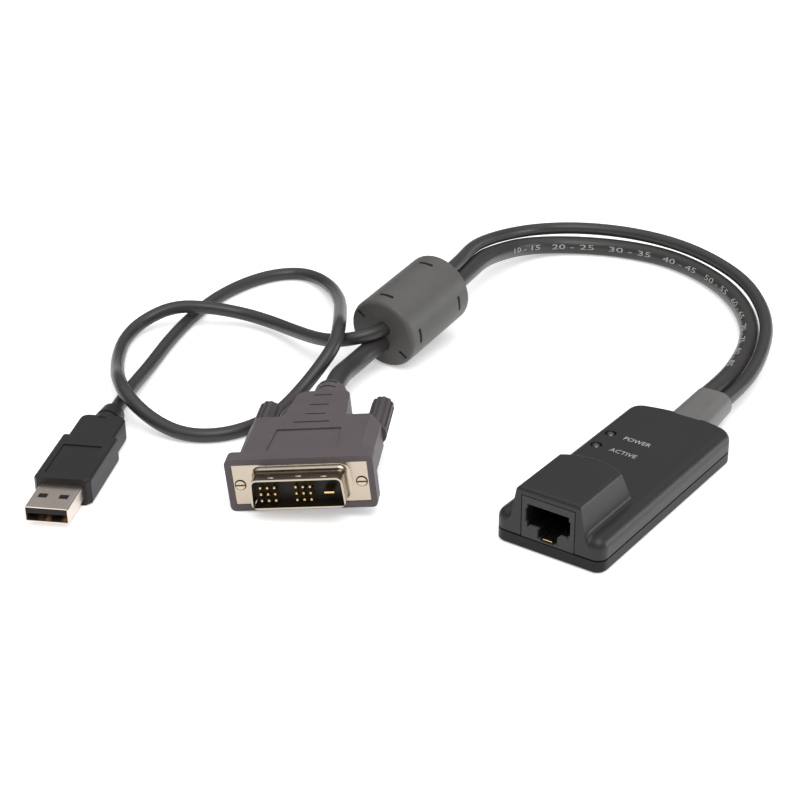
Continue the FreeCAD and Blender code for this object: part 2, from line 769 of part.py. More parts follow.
def make_cable(name, route, diameter):
    """A cable swept along its route, computed from the sheet's diameter."""
    points = [V(*spot) for spot in route]
    path, radii = tangent_path(points)
    radius = value(diameter) / 2
    solid = path.makePipeShell([ring(points[0], points[1] - points[0], radius)], True, False)
    sides = int(SIZES["cable_sides"])
    expected = sides / 2 * math.sin(2 * math.pi / sides) * radius ** 2 * path.Length
    print(f"{name}: length {path.Length:.1f}, tightest bend {min(radii):.1f},"
          f" volume {solid.Volume:.0f} of {expected:.0f}")
    if abs(solid.Volume / expected - 1) > 0.01:
        raise RuntimeError(f"{name}: the sweep lost volume")
    cable = doc.addObject("Part::Feature", "Cable")
    cable.Shape = solid
    keep(name, cable)


# ---------------------------------------------------------------- ferrite sleeve

def sleeve_placement():
    near_end = V(*SLEEVE_NEAR)
    axis = V(*SLEEVE_FAR) - near_end
    return FreeCAD.Placement(near_end, FreeCAD.Rotation(V(0, 1, 0), axis))


def make_ferrite_core():
    inner = "ferrite_diameter/2-ferrite_wall"
    length = "ferrite_length-2*ferrite_end_wall"
    solid = rod(inner, length, "0", "ferrite_end_wall", "0")
    bore = rod("ferrite_bore/2", "ferrite_length", "0", "0", "0")
    keep("ferrite_core", cut(solid, bore), sleeve_placement())


def make_ferrite_jacket():
    part = Moulding("ferrite_jacket")
    part.pad(part.circle("XZ", "0", "0", "0", "ferrite_diameter/2"), "ferrite_length")
    part.dress("Fillet", "ferrite_round", lambda b, m: b.YLength < 0.01)
    length = "ferrite_length-2*ferrite_end_wall"
    room = rod("ferrite_diameter/2-ferrite_wall", length, "0", "ferrite_end_wall", "0")
    tools = [room]
    for y in ("ferrite_slot_from_near", "ferrite_length-ferrite_slot_from_far"):
        tools += [sleeve_slot(90 * turn, y) for turn in range(4)]
    for y in ("-1", "ferrite_length-ferrite_end_wall-1"):
        tools += [end_slot(SIZES["ferrite_end_slot_turn"] + 180 * turn, y) for turn in range(2)]
    outside = cut(part.body, fuse(tools))
    outside.Placement = sleeve_placement()
    passages = [
        sleeve_passage(VIDEO_ROUTE, "video_cable_diameter"),
        sleeve_passage(USB_ROUTE, "usb_cable_diameter"),
    ]
    keep("ferrite_jacket", cut(outside, fuse(passages)))


def sleeve_passage(route, diameter):
    """The hole that one cable needs through the sleeve, along the cable's own route."""
    near_end = SLEEVE_NEAR[1] - 8
    far_end = SLEEVE_FAR[1] + 8
    inside = [n for n, (x, y, z) in enumerate(route) if near_end < y < far_end and abs(x - SLEEVE_NEAR[0]) < 9]
    runs = [n for n in inside if n - 1 in inside or n + 1 in inside]
    first = runs[0]
    last = first
    while last + 1 in runs:
        last += 1
    points = [V(*spot) for spot in route[first - 1:last + 2]]
    path, radii = tangent_path(points)
    radius = value(f"{diameter}/2+sleeve_clearance")
    section = Part.Wire(Part.Circle(points[0], points[1] - points[0], radius).toShape())
    passage = doc.addObject("Part::Feature", "Passage")
    passage.Shape = path.makePipeShell([section], True, True)
    return passage


def spun(obj, angle):
    """Turn a tool about the sleeve's axis."""
    holder = group([obj])
    holder.Placement = FreeCAD.Placement(V(0, 0, 0), FreeCAD.Rotation(V(0, 1, 0), angle))
    return holder


def sleeve_slot(angle, y):
    wide = "ferrite_diameter*sin(ferrite_slot_angle/2)"
    depth = "ferrite_wall+1"
    return spun(centred_box(wide, "ferrite_slot_width", depth, "0", f"{y}-ferrite_slot_width/2",
                            "ferrite_diameter/2*cos(ferrite_slot_angle/2)-ferrite_wall"), angle)


def end_slot(angle, y):
    return spun(centred_box("ferrite_slot_width", "ferrite_end_wall+2", "ferrite_end_slot_length",
                            "0", y, "ferrite_end_slot_start"), angle)


# ---------------------------------------------------------------- video plug

DVI_AXIS = "(dvi_flange_height/2)"


def dvi_placement():
    return plug_placement("dvi")


def plug_placement(plug):
    place = V(value(plug + "_x"), value(plug + "_y"), value(plug + "_z"))
    yaw = FreeCAD.Rotation(V(0, 0, 1), value(plug + "_yaw"))
    roll = FreeCAD.Rotation(V(0, 1, 0), -value(plug + "_roll"))
    return FreeCAD.Placement(place, yaw * roll)


def octagon(half, top_half, low, high, bevel):
    return [
        ("-" + top_half, low), (top_half, low), (half, f"{low}+{bevel}"), (half, f"{high}-{bevel}"),
        (top_half, high), ("-" + top_half, high), ("-" + half, f"{high}-{bevel}"), ("-" + half, f"{low}+{bevel}"),
    ]


def make_dvi_hood():
    part = Moulding("dvi_hood")
    flange = rectangle("dvi_flange_width/2", "0", "dvi_flange_height")
    part.pad(part.polygon("XZ", "0", flange), "dvi_flange_depth")
    part.dress("Fillet", "dvi_flange_round", lambda b, m: b.YLength > 4 and near(b.XLength, 0) and near(b.ZLength, 0))
    low = "dvi_body_step"
    high = "(dvi_flange_height-dvi_body_step)"
    body = octagon("dvi_body_half_width", "dvi_body_top_half_width", low, high, "dvi_body_bevel")
    part.pad(part.polygon("XZ", "dvi_flange_depth-1", body), "dvi_body_end-dvi_flange_depth+1")
    sections = []
    for level, half, height in (
        ("dvi_body_end-1", "dvi_neck_half_width", "dvi_neck_height"),
        ("dvi_neck_end", "dvi_neck_end_half_width", "dvi_neck_end_height"),
    ):
        face = rectangle(half, f"{DVI_AXIS}-{height}/2", f"{DVI_AXIS}+{height}/2")
        sections.append(part.polygon("XZ", level, face))
    part.loft("AdditiveLoft", sections)
    end = SIZES["dvi_neck_end"]
    part.dress("Fillet", "dvi_neck_round", lambda b, m: near(b.YMin, end) and near(b.YMax, end) and b.ZLength > 4)
    part.pad(part.circle("XZ", "dvi_neck_end-1", "0", DVI_AXIS, "dvi_collar_radius"), "dvi_collar_end-dvi_neck_end+1")
    for level in ("dvi_neck_end+2", "dvi_neck_end+5"):
        collar_slot(part, level)
    top_marks(part)
    shell_room = rectangle("dvi_plate_width/2", f"{DVI_AXIS}-dvi_plate_height/2", f"{DVI_AXIS}+dvi_plate_height/2")
    part.pocket(part.polygon("XZ", "-1", shell_room), "1.4+dvi_plate_thickness")
    part.pocket(part.polygon("XZ", "0", d_outline("dvi_rim_wall")), "dvi_insulator_back")
    for side in ("-", ""):
        bore = part.circle("XZ", "0", f"{side}dvi_screw_spacing/2", DVI_AXIS, "thumbscrew_radius+thumbscrew_clearance")
        part.pocket(bore, "dvi_body_end+1")
    keep("dvi_hood", part.body, dvi_placement())


def collar_slot(part, level):
    """Cut away the collar's left and right thirds in a narrow ring, as a flexing slot."""
    for side in ("-", ""):
        half = "(dvi_collar_radius*0.5)"
        slot = rectangle(half, f"{DVI_AXIS}-2.4", f"{DVI_AXIS}+2.4", f"{side}(dvi_collar_radius-0.4+{half}*0.5)")
        part.pocket(part.polygon("XZ", level, slot), "dvi_collar_groove")
    for side in ("-", ""):
        slot = rectangle("2.4", f"{DVI_AXIS}{side or '+'}dvi_collar_radius-0.9", f"{DVI_AXIS}{side or '+'}dvi_collar_radius+0.9")
        part.pocket(part.polygon("XZ", f"{level}+1.5", slot), "dvi_collar_groove")


def top_marks(part):
    """Shallow panel and grip slots on the top of the hood."""
    top = "(dvi_flange_height-dvi_body_step)"
    panel = [
        ("-dvi_panel_half_width-0.9", "dvi_flange_depth"), ("dvi_panel_half_width+0.9", "dvi_flange_depth"),
        ("dvi_panel_half_width", "dvi_panel_end"), ("-dvi_panel_half_width", "dvi_panel_end"),
    ]
    part.pocket(part.polygon("XY", f"{top}-dvi_panel_depth", panel), "1")
    for y, half, step in (("22", "5", "0"), ("28.4", "2.9", "1"), ("34.6", "2.7", "2"), ("41.2", "2.6", "3")):
        slope = f"({DVI_AXIS}+dvi_neck_height/2-(max({y};dvi_body_end)-dvi_body_end)*(dvi_neck_height-dvi_neck_end_height)/2/(dvi_neck_end-dvi_body_end))"
        level = f"{top}-0.5" if step == "0" else slope + "-0.5"
        part.pocket(part.polygon("XY", level, rectangle(half, y, y + "+0.7")), "3")


def make_dvi_shell():
    part = Moulding("dvi_shell")
    plate = rectangle("dvi_plate_width/2", f"{DVI_AXIS}-dvi_plate_height/2", f"{DVI_AXIS}+dvi_plate_height/2")
    part.pad(part.polygon("XZ", "0.4", plate), "dvi_plate_thickness")
    part.pad(part.polygon("XZ", "-dvi_rim_reach", d_outline("0")), "dvi_rim_reach+0.5")
    part.dress("Fillet", "dvi_rim_corner", lambda b, m: b.YMin < -5 and b.YLength > 4)
    root = 0.4
    part.dress("Fillet", "dvi_rim_flare", lambda b, m: near(b.YMin, root) and near(b.YMax, root) and abs(m.x) < 14
               and 2.5 < m.z < 13)
    part.pocket(part.polygon("XZ", "-dvi_rim_reach-1", d_outline("dvi_rim_wall")), "dvi_rim_reach+3")
    part.dress("Fillet", "dvi_rim_corner-dvi_rim_wall", inner_corner)
    for side in ("-", ""):
        hole = part.circle("XZ", "0", f"{side}dvi_screw_spacing/2", DVI_AXIS, "dvi_plate_hole_radius")
        part.pocket(hole, "2")
    keep("dvi_shell", part.body, dvi_placement())


def inner_corner(bounds, middle):
    return bounds.YLength > 5 and bounds.XLength < 1 and bounds.ZLength < 0.5 and abs(middle.x) < 12.4


def d_outline(inset):
    """The shell's slightly tapered mouth, moved in by an inset."""
    low = f"{DVI_AXIS}-dvi_rim_height/2+({inset})"
    high = f"{DVI_AXIS}+dvi_rim_height/2-({inset})"
    top = f"(dvi_rim_top_width/2-({inset}))"
    bottom = f"(dvi_rim_bottom_width/2-({inset}))"
    return [("-" + bottom, low), (bottom, low), (top, high), ("-" + top, high)]


def make_dvi_insulator():
    part = Moulding("dvi_insulator")
    face = part.polygon("XZ", "-dvi_pin_root", d_outline("dvi_rim_wall"))
    part.pad(face, "dvi_insulator_back+dvi_pin_root")
    part.dress("Fillet", "dvi_rim_corner-dvi_rim_wall", lambda b, m: b.YLength > 5)
    keep("dvi_insulator", part.body, dvi_placement())


def make_dvi_pins():
    """Three rows of pins in two blocks of three columns."""
    pins = []
    for column in (0, 1, 2, 5, 6, 7):
        for row in range(3):
            x = f"dvi_pin_shift+({column}-3.5)*dvi_pin_pitch"
            z = f"{DVI_AXIS}+({row}-1)*dvi_pin_pitch-dvi_pin_side/2"
            pins.append(centred_box("dvi_pin_side", "dvi_pin_tip-dvi_pin_root", "dvi_pin_side", x, "-dvi_pin_tip", z))
    keep("dvi_pins", group(pins), dvi_placement())


def make_dvi_ground_blade():
    blade = centred_box("dvi_blade_width", "dvi_pin_tip-dvi_pin_root", "dvi_blade_thickness", "dvi_blade_offset",
                        "-dvi_pin_tip", f"{DVI_AXIS}-dvi_blade_thickness/2")
    keep("dvi_ground_blade", group([blade]), dvi_placement())


def make_thumbscrew(name, side):
    x = f"{side}dvi_screw_spacing/2"
    shank = rod("thumbscrew_radius", "dvi_body_end+grip_gap+grip_bore_depth-0.1", x, "0.1", DVI_AXIS)
    slot = centred_box("2*thumbscrew_radius+1", "thumbscrew_slot_depth+0.1", "thumbscrew_slot_width", x, "0",
                       f"{DVI_AXIS}-thumbscrew_slot_width/2")
    keep(name, cut(shank, slot), dvi_placement())


def make_grip(name, side):
    """Ribbed finger grip pressed on the thumbscrew's shank."""
    x = f"{side}dvi_screw_spacing/2"
    start = "(dvi_body_end+grip_gap)"
    length = f"(grip_end-{start})"
    barrel = rod("grip_radius", f"{length}-1", x, start, DVI_AXIS)
    tip = cone("grip_radius", "grip_radius-0.8", "1", x, "grip_end-1", DVI_AXIS)
    tools = [rod("thumbscrew_radius", "grip_bore_depth", x, start, DVI_AXIS)]
    count = int(SIZES["grip_groove_count"])
    for step in range(count):
        groove = centred_box("grip_groove_width", length, "grip_groove_depth+1", "0", f"{start}+1.2",
                             "grip_radius-grip_groove_depth")
        turned = spun(groove, 360 * step / count)
        tools.append(bind(turned, Placement__Base__x=x, Placement__Base__z=DVI_AXIS))
    keep(name, cut(fuse([barrel, tip]), fuse(tools)), dvi_placement())


# ---------------------------------------------------------------- usb plug

USB_AXIS = "(usb_shell_height/2)"


def usb_placement():
    return plug_placement("usb")


def make_usb_hood():
    part = Moulding("usb_hood")
    low = f"({USB_AXIS}-usb_hood_height/2)"
    front = "usb_shell_length"
    wide = "usb_hood_half_width"
    neck = "usb_neck_half_width"
    outline = [
        (f"-({wide}-1)", front), (f"{wide}-1", front), (wide, f"{front}+1.2"), (wide, "usb_hood_wide_end"),
        (f"-{wide}", "usb_hood_wide_end"), (f"-{wide}", f"{front}+1.2"),
    ]
    part.pad(part.polygon("XY", low, outline), "usb_hood_height")
    wide_end = SIZES["usb_hood_wide_end"]
    part.dress("Fillet", "usb_step_round", lambda b, m: upright(b) and near(m.y, wide_end))
    part.dress("Fillet", "usb_edge_round", lambda b, m: near(b.ZLength, 0) and m.y > 12.7)
    stem = rectangle(neck, f"{USB_AXIS}-usb_neck_height/2", f"{USB_AXIS}+usb_neck_height/2")
    part.pad(part.polygon("XZ", "usb_hood_wide_end-1", stem), "usb_neck_end-usb_hood_wide_end+1")
    end = SIZES["usb_neck_end"]
    part.dress("Fillet", "usb_shoulder_round", lambda b, m: upright(b) and near(m.y, end))
    part.dress("Fillet", "usb_edge_round", lambda b, m: near(b.ZLength, 0) and b.YMin > wide_end - 0.1 and b.YLength > 0.5)
    part.pad(part.circle("XZ", "usb_neck_end-2", "0", USB_AXIS, "usb_relief_radius-0.1"), "3.2")
    sections = []
    for level, radius in (("usb_neck_end+1.8", "usb_relief_radius"), ("usb_relief_end", "usb_relief_end_radius")):
        sections.append(part.circle("XZ", level, "0", USB_AXIS, radius))
    part.pad(part.circle("XZ", "usb_neck_end+1", "0", USB_AXIS, "usb_relief_end_radius-0.3"), "1.2")
    part.loft("AdditiveLoft", sections)
    panel = rectangle("usb_panel_half_width", "usb_panel_start", "usb_panel_end")
    part.pocket(part.polygon("XY", f"{low}+usb_hood_height-usb_panel_depth", panel), "1")
    room = rectangle("usb_shell_width/2", "0", "usb_shell_height")
    part.pocket(part.polygon("XZ", "0", room), f"{front}+usb_shell_insert")
    keep("usb_hood", part.body, usb_placement())


def make_usb_shell():
    part = Moulding("usb_shell")
    wall = "usb_shell_wall"
    outer = rectangle("usb_shell_width/2", "0", "usb_shell_height")
    part.pad(part.polygon("XZ", "0", outer), "usb_shell_length+usb_shell_insert")
    part.dress("Fillet", "usb_shell_corner", lambda b, m: b.YLength > 12)
    inner = rectangle(f"usb_shell_width/2-{wall}", wall, f"usb_shell_height-{wall}")
    part.pocket(part.polygon("XZ", "-1", inner), "usb_shell_length+usb_shell_insert+2")
    for side in ("-", ""):
        x = f"{side}usb_window_offset"
        window = rectangle("usb_window_width/2", "usb_window_start", "usb_window_start+usb_window_length", x)
        part.pocket(part.polygon("XY", "-1", window), "usb_shell_height+2")
    keep("usb_shell", part.body, usb_placement())


def make_usb_tongue():
    wall = "usb_shell_wall"
    width = f"usb_shell_width-2*{wall}"
    tongue = centred_box(width, "usb_shell_length+usb_shell_insert-0.4", "usb_tongue_thickness", "0", "0.4",
                         f"usb_shell_height-{wall}-usb_tongue_thickness")
    back = centred_box(width, "usb_shell_insert+2", f"usb_shell_height-2*{wall}", "0", "usb_shell_length-2", wall)
    keep("usb_tongue", fuse([tongue, back]), usb_placement())


def make_usb_contacts():
    strips = []
    for step in range(4):
        x = f"({step}-1.5)*usb_contact_pitch"
        start = "1.4" if step in (0, 3) else "2.2"
        strips.append(centred_box("usb_contact_width", f"usb_shell_length-2-({start})", "usb_contact_thickness", x,
                                  start, "usb_shell_height-usb_shell_wall-usb_tongue_thickness-usb_contact_thickness"))
    keep("usb_contacts", group(strips), usb_placement())


# ---------------------------------------------------------------- build and write

def build_parts():
    make_bottom_cover()
    make_top_cover()
    make_housing_screws()
    make_circuit_board()
    make_network_jack()
    make_jack_contacts()
    make_lamp("power_led", "0")
    make_lamp("active_led", "lamp_pitch")
    make_chip("control_chip", "chip_side", "1.5", "8.5", 6)
    make_chip("video_chip", "7", "8", "20", 4)
    make_board_components()
    make_crystal()
    make_cable_header()
    make_lead_wires()
    make_cable_boot()
    make_cable("video_cable", VIDEO_ROUTE, "video_cable_diameter")
    make_cable("usb_cable", USB_ROUTE, "usb_cable_diameter")
    make_ferrite_core()
    make_ferrite_jacket()
    make_dvi_hood()
    make_dvi_shell()
    make_dvi_insulator()
    make_dvi_pins()
    make_dvi_ground_blade()
    make_thumbscrew("left_thumbscrew", "-")
    make_thumbscrew("right_thumbscrew", "")
    make_grip("left_thumbscrew_grip", "-")
    make_grip("right_thumbscrew_grip", "")
    make_usb_hood()
    make_usb_shell()
    make_usb_tongue()
    make_usb_contacts()


def check_and_write():
    doc.recompute()
    for obj in doc.Objects:
        if "Invalid" in obj.State or "Error" in obj.State:
            raise RuntimeError(f"{obj.Label} ({obj.Name}) did not rebuild: {obj.State}")
    os.makedirs("parts", exist_ok=True)
    for name, obj in PARTS.items():
        shape = obj.Shape
        if shape.isNull() or not shape.isValid() or not shape.Solids:
            raise RuntimeError(f"{name}: no sound solid")
        Part.export([obj], f"parts/{name}.step")


build_parts()
check_and_write()
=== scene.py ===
"""Looks of the KVM dongle: materials, small details, loose cables, studio light and camera.

Lengths are in metres in the model's own frame: the housing's underside centre is the origin, +Z is
up, the network socket faces -Y.
"""
import json
import math

import bmesh
import bpy
from mathutils import Matrix, Vector


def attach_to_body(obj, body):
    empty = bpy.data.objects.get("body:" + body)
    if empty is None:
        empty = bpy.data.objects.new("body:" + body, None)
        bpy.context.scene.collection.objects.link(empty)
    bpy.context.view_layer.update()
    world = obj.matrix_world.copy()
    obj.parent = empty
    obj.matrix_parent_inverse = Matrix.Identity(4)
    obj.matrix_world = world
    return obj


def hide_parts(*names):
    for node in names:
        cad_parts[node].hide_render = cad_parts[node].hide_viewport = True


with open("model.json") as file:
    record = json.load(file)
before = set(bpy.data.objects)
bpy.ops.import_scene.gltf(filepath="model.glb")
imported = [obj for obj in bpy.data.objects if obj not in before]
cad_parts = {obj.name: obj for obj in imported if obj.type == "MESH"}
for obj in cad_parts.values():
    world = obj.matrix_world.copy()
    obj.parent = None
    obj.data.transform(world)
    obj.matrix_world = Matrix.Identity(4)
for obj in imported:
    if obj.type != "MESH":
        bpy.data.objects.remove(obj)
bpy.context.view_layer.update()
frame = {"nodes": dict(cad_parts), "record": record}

MM = 0.001

# Sizes in millimetres that more than one piece follows.
PARTING_LEVEL = 3.8
SOCKET_FACE = -37.6
CAPTION_LEVEL = 9.62
VIDEO_LEAD = 6.2
USB_LEAD = 4.2
PRINT_RADIUS = 3.22
PIN_PITCH = 1.905
PIN_AXIS = 7.75
VIDEO_PLUG = ((-63.99, -56.65, 1.92), 28.74, 5.51)
USB_PLUG = ((-115.71, -100.51, 1.75), 26.5, 0.0)
UP = Vector((0.0, 0.0, 1.0))


# ---------------------------------------------------------------- camera and light

def make_camera():
    data = bpy.data.cameras.new("Camera")
    data.lens = 79.66
    data.sensor_width = 36.0
    data.clip_start = 0.01
    camera = bpy.data.objects.new("Camera", data)
    bpy.context.collection.objects.link(camera)
    right = Vector((0.8124, 0.5830, -0.0106))
    up = Vector((-0.2584, 0.3763, 0.8897))
    back = Vector((0.5227, -0.7201, 0.4564))
    turn = Matrix((right, up, back)).transposed().to_4x4()
    camera.matrix_world = Matrix.Translation((0.19558, -0.37037, 0.24264)) @ turn
    bpy.context.scene.camera = camera


def area_light(name, place, target, size, power, colour=(1, 1, 1)):
    data = bpy.data.lights.new(name, "AREA")
    data.shape = "RECTANGLE"
    data.size, data.size_y = size
    data.energy = power
    data.color = colour
    lamp = bpy.data.objects.new(name, data)
    bpy.context.collection.objects.link(lamp)
    lamp.location = place
    lamp.rotation_euler = (Vector(target) - Vector(place)).to_track_quat("-Z", "Y").to_euler()


def make_world():
    """Studio surroundings: dark towards the horizon, bright overhead, white where the camera looks."""
    world = bpy.data.worlds.new("Studio")
    bpy.context.scene.world = world
    world.use_nodes = True
    tree = world.node_tree
    tree.nodes.clear()
    out = tree.nodes.new("ShaderNodeOutputWorld")
    path = tree.nodes.new("ShaderNodeLightPath")
    white = tree.nodes.new("ShaderNodeBackground")
    white.inputs["Strength"].default_value = 1.0
    soft = tree.nodes.new("ShaderNodeBackground")
    soft.inputs["Strength"].default_value = 1.0
    place = tree.nodes.new("ShaderNodeTexCoord")
    parts = tree.nodes.new("ShaderNodeSeparateXYZ")
    height = tree.nodes.new("ShaderNodeValToRGB")
    ramp_stops(height.color_ramp, [(0.0, grey(0.14)), (0.4, grey(0.16)), (0.8, grey(1.0))])
    tree.links.new(place.outputs["Generated"], parts.inputs[0])
    tree.links.new(parts.outputs["Z"], height.inputs[0])
    tree.links.new(height.outputs[0], soft.inputs["Color"])
    mix = tree.nodes.new("ShaderNodeMixShader")
    tree.links.new(path.outputs["Is Camera Ray"], mix.inputs[0])
    tree.links.new(soft.outputs[0], mix.inputs[1])
    tree.links.new(white.outputs[0], mix.inputs[2])
    tree.links.new(mix.outputs[0], out.inputs["Surface"])


# ---------------------------------------------------------------- shader kit

class Value:
    """A shader socket in an expression: operators add Math nodes."""

    def __init__(self, material, socket):
        self.material = material
        self.socket = socket

    def apply(self, operation, *values):
        return self.material.node("ShaderNodeMath", {"operation": operation}, dict(enumerate(values)))

    def __add__(self, other):
        return self.apply("ADD", self, other)

    def __sub__(self, other):
        return self.apply("SUBTRACT", self, other)

    def __mul__(self, other):
        return self.apply("MULTIPLY", self, other)

    def __rsub__(self, other):
        return self.apply("SUBTRACT", other, self)

    __radd__ = __add__
    __rmul__ = __mul__


class Finish:
    """A Principled material whose varying inputs are wired by expressions."""

    def __init__(self, name, colour, roughness, metallic=0.0, **constants):
        self.data = bpy.data.materials.new(name)
        self.data.use_nodes = True
        self.tree = self.data.node_tree
        self.shader = self.tree.nodes["Principled BSDF"]
        self.set("Base Color", (*colour, 1.0))
        self.set("Roughness", roughness)
        self.set("Metallic", metallic)
        for socket, number in constants.items():
            self.set(socket.replace("_", " "), number)
        self.data.diffuse_color = (*colour, 1.0)

    def set(self, socket, value):
        if isinstance(value, Value):
            self.tree.links.new(value.socket, self.shader.inputs[socket])
        else:
            self.shader.inputs[socket].default_value = value

    def node(self, kind, settings=None, inputs=None, output=0):
        """Make a node: settings first, then the values or links of its sockets."""
        made = self.tree.nodes.new(kind)
        for name, setting in (settings or {}).items():
            if name == "stops":
                ramp_stops(made.color_ramp, setting)
            else:
                setattr(made, name, setting)
        for name, value in (inputs or {}).items():
            if isinstance(value, Value):
                self.tree.links.new(value.socket, made.inputs[name])
            else:
                made.inputs[name].default_value = value
        return Value(self, made.outputs[output])

    def place(self):
        return self.node("ShaderNodeTexCoord", output="Object")

    def noise(self, scale, detail=3.0, roughness=0.55):
        inputs = {"Vector": self.place(), "Scale": scale, "Detail": detail, "Roughness": roughness}
        return self.node("ShaderNodeTexNoise", None, inputs)

    def ramp(self, value, stops):
        return self.node("ShaderNodeValToRGB", {"stops": stops}, {"Fac": value})

    def mix(self, mask, first, second):
        inputs = {0: mask, 6: first, 7: second}
        return self.node("ShaderNodeMix", {"data_type": "RGBA"}, inputs, output=2)

    def bump(self, height, strength, distance):
        inputs = {"Height": height, "Strength": strength, "Distance": distance}
        self.set("Normal", self.node("ShaderNodeBump", None, inputs))


def ramp_stops(ramp, stops):
    while len(ramp.elements) > 1:
        ramp.elements.remove(ramp.elements[-1])
    for index, (position, colour) in enumerate(stops):
        element = ramp.elements[0] if index == 0 else ramp.elements.new(position)
        element.position = position
        element.color = colour


def grey(level):
    return (level, level, level, 1.0)


def moulded(name, colour, roughness, grain, depth, specular=0.25):
    """Moulded plastic: fine even texture, faint mottling and rubbed patches."""
    finish = Finish(name, colour, roughness, Specular_IOR_Level=specular)
    fine = finish.noise(grain, 2.0)
    broad = finish.noise(60.0, 3.0)
    tint = finish.ramp(broad, [(0.3, grey(0.0)), (0.75, grey(1.0))])
    dark = tuple(0.9 * part for part in colour) + (1.0,)
    pale = tuple(1.1 * part for part in colour) + (1.0,)
    finish.set("Base Color", finish.mix(tint, dark, pale))
    finish.set("Roughness", roughness - 0.05 + fine * 0.06 + broad * 0.04)
    finish.bump(fine, depth, 0.00008)
    return finish.data


def housing_black(name, colour, specular):
    """Matte housing plastic whose parting line reads as a dark line: a near-black band painted there is
    painted shade for the gap between the two covers.
    """
    finish = Finish(name, colour, 0.42, Specular_IOR_Level=specular)
    level = finish.node("ShaderNodeSeparateXYZ", None, {0: finish.place()}, output=2)
    above = level - PARTING_LEVEL * MM
    away = above.apply("ABSOLUTE", above)
    # Painted shade: a near-black band within about 0.25 mm of the parting level stands in for the
    # shadow in the gap between the covers.
    parting_shade = finish.ramp(away * 1000.0, [(0.0, grey(1.0)), (0.2, grey(1.0)), (0.28, grey(0.0))])
    broad = finish.noise(60.0, 3.0)
    fine = finish.noise(2600.0, 2.0)
    dark = tuple(0.92 * part for part in colour) + (1.0,)
    pale = tuple(1.08 * part for part in colour) + (1.0,)
    skin = finish.mix(broad, dark, pale)
    finish.set("Base Color", finish.mix(parting_shade, skin, grey(0.002)))
    finish.set("Roughness", fine * 0.06 + broad * 0.04 + parting_shade * 0.5 + 0.37)
    finish.bump(fine, 0.25, 0.00008)
    return finish.data


def socket_black():
    """The socket's moulding: its face is charcoal, and deeper into the mouth it is painted black,
    painted shade for the recess.
    """
    finish = Finish("socket_plastic", (0.05, 0.048, 0.048), 0.45, Specular_IOR_Level=0.25)
    split = finish.node("ShaderNodeSeparateXYZ", None, {0: finish.place()}, output=1)
    depth = (split - SOCKET_FACE * MM) * 1500.0
    # Painted shade: the colour goes to black over the first 0.67 mm behind the socket's face.
    recess_shade = finish.ramp(depth, [(0.0, grey(0.0)), (1.0, grey(1.0))])
    finish.set("Base Color", finish.mix(recess_shade, (0.05, 0.048, 0.048, 1.0), grey(0.003)))
    finish.set("Roughness", recess_shade * 0.3 + 0.45)
    finish.bump(finish.noise(2600.0, 2.0), 0.15, 0.00008)
    return finish.data


def plated(name, colour, roughness, scratch=0.06):
    """Bright plating with faint drawn lines and smudges."""
    finish = Finish(name, colour, roughness, 1.0)
    smudge = finish.noise(180.0, 4.0, 0.6)
    finish.set("Roughness", roughness + smudge * scratch)
    dark = tuple(0.88 * part for part in colour) + (1.0,)
    pale = tuple(min(1.0, 1.05 * part) for part in colour) + (1.0,)
    finish.set("Base Color", finish.mix(finish.noise(90.0, 3.0), dark, pale))
    finish.bump(finish.noise(1500.0, 2.0), 0.04, 0.00005)
    return finish.data


# ---------------------------------------------------------------- cables

VIDEO_ROUTE = [
    (-2.4, 54.5, 6.2), (-2.4, 65.5, 6.2), (-4.9, 80.3, 5), (-9.3, 97, 3.7),
    (-15.3, 111.5, 3.1), (-24, 124.5, 3.1), (-35.5, 136, 3.1), (-49.5, 144.6, 3.1),
    (-65, 149.5, 3.1), (-80.5, 148.4, 3.1), (-94.2, 143.6, 3.1), (-105, 135.6, 3.6),
    (-110.2, 124.2, 5.4), (-110, 110, 8.2), (-107.4, 95.5, 11.4), (-102.8, 79.5, 13.2),
    (-99.6, 62.2, 13.4), (-99.8, 43.4, 10.9), (-100.6, 24.5, 8.2), (-99.6, 11, 7),
    (-95.13, -1.41, 9.63), (-89.84, -11.06, 9.63),
]
USB_ROUTE = [
    (3.1, 54.5, 6.2), (3.1, 65.5, 6.2), (1, 80, 5.9), (-3.6, 96.5, 5.8),
    (-9.6, 111.3, 6), (-18, 124.3, 6.5), (-28.8, 136, 7.1), (-42.5, 144.6, 7.7),
    (-57.5, 150.2, 8.1), (-72.5, 152, 8.2), (-87, 149.8, 8.3), (-100, 144, 8.4),
    (-109.3, 134.6, 8.9), (-112.8, 121.5, 10.8), (-112.4, 106.5, 13.6), (-109.1, 91.5, 16.6),
    (-103.8, 76.8, 18.2), (-100.2, 61.4, 19), (-98.6, 43, 16.3), (-98.3, 27.5, 13.8),
    (-100.9, 20.2, 13.2), (-107, 16.4, 11.6), (-114, 16.8, 9.8), (-123, 20, 7.6),
    (-134, 24.6, 5.2), (-145, 27.8, 3.9), (-155.5, 27, 4.4), (-164.5, 20, 7),
    (-174.5, 14, 7), (-180.5, 5, 3.4), (-177.5, -6.5, 2.1), (-168.5, -18.5, 3),
    (-158.5, -29, 5.5), (-149, -38, 9), (-139, -45, 9), (-128.5, -45.5, 4.2),
    (-118, -44, 2.1), (-109, -38, 2.1), (-104.8, -27.5, 2.1), (-104.4, -17, 2.3),
    (-104.6, -8, 4.6), (-103.4, 0.5, 9.6), (-103, 8.5, 14.8), (-108.5, 17.5, 16.2),
    (-117.5, 29.5, 12.5), (-130.5, 46.5, 7.6), (-144, 60, 4.2), (-155.5, 67, 2.7),
    (-165, 68, 2.1), (-172, 60.5, 2.1), (-175, 48, 2.1), (-174.5, 33, 2.1),
    (-170.5, 16.5, 2.1), (-164.5, 0, 2.1), (-157.5, -15.5, 2.2), (-151.5, -28.5, 3.2),
    (-147.1, -37.5, 4), (-141.59, -48.6, 4),
]


